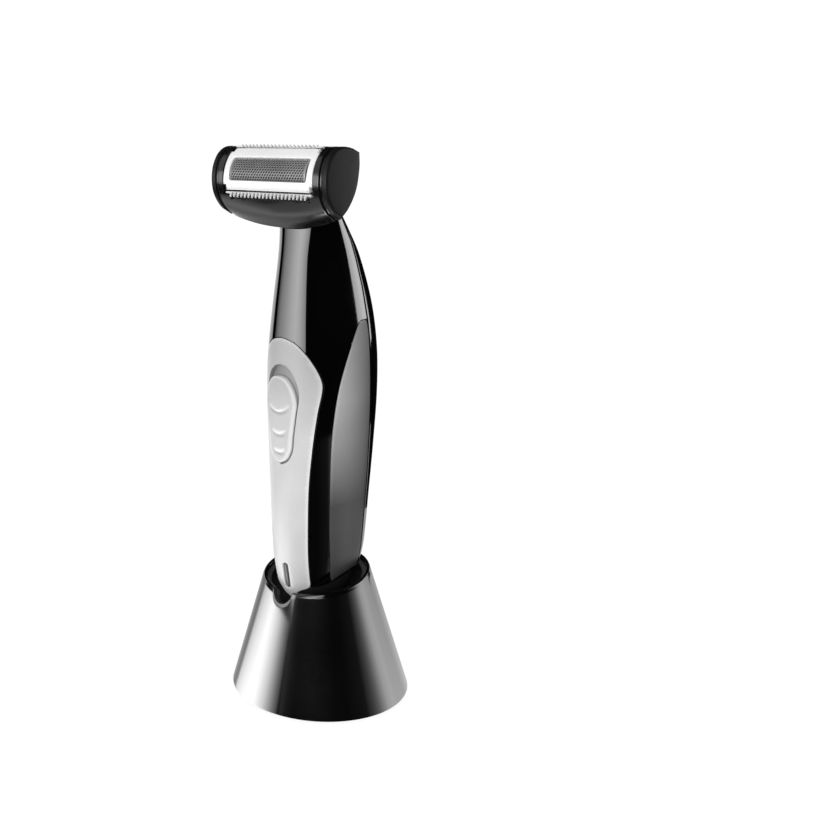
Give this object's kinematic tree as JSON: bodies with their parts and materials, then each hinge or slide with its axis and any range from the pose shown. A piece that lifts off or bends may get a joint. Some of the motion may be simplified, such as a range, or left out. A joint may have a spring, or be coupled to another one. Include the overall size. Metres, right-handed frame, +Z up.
{
  "type": "body groomer",
  "caption": "Cordless body groomer with a T-shaped foil shaving head, slide switch and silver front panel, standing in an oval gloss black charging stand.",
  "frame": {"origin": "middle of the stand's footprint, on the floor", "axes": "+Z up, -Y towards the user (silver panel and foil), +X to the right seen from the front"},
  "size_m": [0.0716, 0.0596, 0.1986],
  "materials": {
    "stand_black": "high gloss moulded plastic",
    "gloss_black": "piano black lacquer",
    "head_black": "gloss moulded plastic",
    "cap_black": "fine satin",
    "matte_black": "matt moulded plastic",
    "satin_silver": "satin silver lacquer",
    "inlay_grey": "dark metallic lacquer",
    "foil_steel": "thin perforated steel",
    "frame_silver": "bright silver lacquer",
    "blade_steel": "ground steel",
    "window": "smoked translucent",
    "rubber": "matt",
    "board": "solder mask",
    "cell": "shrink sleeve",
    "motor_steel": "drawn can",
    "nylon": "natural",
    "ballast": "plain",
    "brass": "bright"
  },
  "bodies": {
    "stand": {"stand_shell": "stand_black", "stand_socket": "matte_black", "stand_base_plate": "matte_black", "stand_weight": "ballast", "stand_foot_front_left": "rubber", "stand_foot_front_right": "rubber", "stand_foot_rear_left": "rubber", "stand_foot_rear_right": "rubber", "stand_screw_left": "blade_steel", "stand_screw_right": "blade_steel"},
    "groomer": {"front_housing": "gloss_black", "rear_shell": "gloss_black", "front_panel": "satin_silver", "side_inlay_left": "inlay_grey", "side_inlay_right": "inlay_grey", "charge_window": "window", "groomer_foot": "matte_black", "inlet_socket": "blade_steel", "switch_contact": "brass", "battery": "cell", "battery_contact_lower": "blade_steel", "battery_contact_upper": "blade_steel", "circuit_board": "board", "chassis": "matte_black", "motor_can": "motor_steel", "neck_deck": "matte_black", "neck_seal": "rubber"},
    "switch": {"switch_slider": "satin_silver"},
    "rotor": {"motor_shaft": "blade_steel"},
    "drive": {"drive_bridge": "nylon", "drive_pin": "blade_steel"},
    "head": {"head_shell": "head_black", "trim_ring_left": "head_black", "trim_ring_right": "head_black", "end_cap_left": "cap_black", "end_cap_right": "cap_black", "float_spring_left": "blade_steel", "float_spring_right": "blade_steel"},
    "cassette": {"foil_frame": "frame_silver", "foil": "foil_steel", "cassette_cheek_left": "matte_black", "cassette_cheek_right": "matte_black", "upper_comb": "blade_steel", "lower_comb": "blade_steel"},
    "cutter": {"cutter_block": "blade_steel", "cutter_carrier": "nylon", "upper_blade": "blade_steel", "lower_blade": "blade_steel"}
  },
  "joints": [
    {"name": "groomer_lift", "type": "slide", "parent": "stand", "child": "groomer", "axis": [0, 0, 1], "range_m": [0, 0.04]},
    {"name": "switch_slide", "type": "slide", "parent": "groomer", "child": "switch", "axis": [0, 0, 1], "range_m": [0, 0.0032]},
    {"name": "motor_spin", "type": "hinge", "parent": "groomer", "child": "rotor", "pos_m": [0, 0.004, 0.15], "axis": [0, 0, 1], "continuous": true},
    {"name": "drive_swing", "type": "slide", "parent": "groomer", "child": "drive", "axis": [1, 0, 0], "range_m": [-0.001, 0.001]},
    {"name": "head_lift", "type": "slide", "parent": "groomer", "child": "head", "axis": [0, -0.2696, 0.963], "range_m": [0, 0.014]},
    {"name": "cassette_float", "type": "slide", "parent": "head", "child": "cassette", "axis": [0, -0.9272, 0.3746], "range_m": [-0.0012, 0], "stiffness_N_per_m": 300, "springref_m": 0.002},
    {"name": "cutter_swing", "type": "slide", "parent": "cassette", "child": "cutter", "axis": [1, 0, 0], "range_m": [-0.001, 0.001]}
  ],
  "couplings": [
    {"joint": "cutter_swing", "follows": "drive_swing", "ratio": 1}
  ]
}
